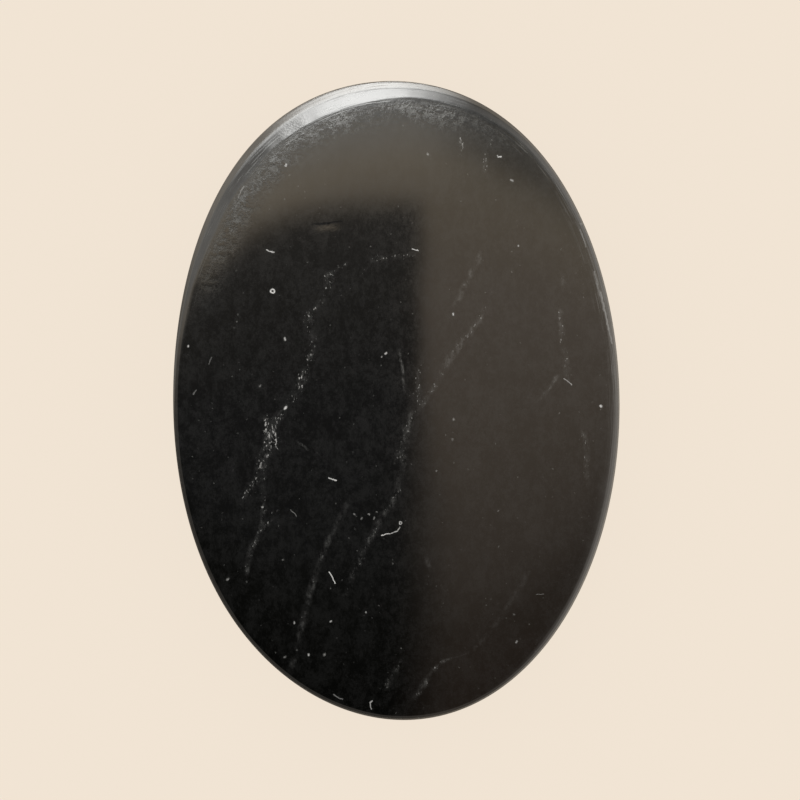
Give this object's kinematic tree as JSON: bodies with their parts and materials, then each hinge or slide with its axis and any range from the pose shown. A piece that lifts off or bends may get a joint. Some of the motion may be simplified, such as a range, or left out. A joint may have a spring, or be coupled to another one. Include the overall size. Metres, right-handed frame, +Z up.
{
  "type": "polished oval shungite stone",
  "caption": "Flat-backed oval stone of black shungite with a low domed mirror-polished face, a bevelled rim and pale hairline veins, to hold or to lay on a surface.",
  "frame": {"origin": "middle of the flat back, under the centre of the oval", "axes": "+Z up out of the domed face, +Y along the oval's long axis towards the end with the wider bevel, +X across it"},
  "size_m": [0.035, 0.05, 0.008],
  "materials": {
    "polished_shungite": "polished black stone with a scuffed rim, pale hairline veins and a little dust"
  },
  "bodies": {
    "root": {"stone": "polished_shungite"}
  },
  "joints": []
}
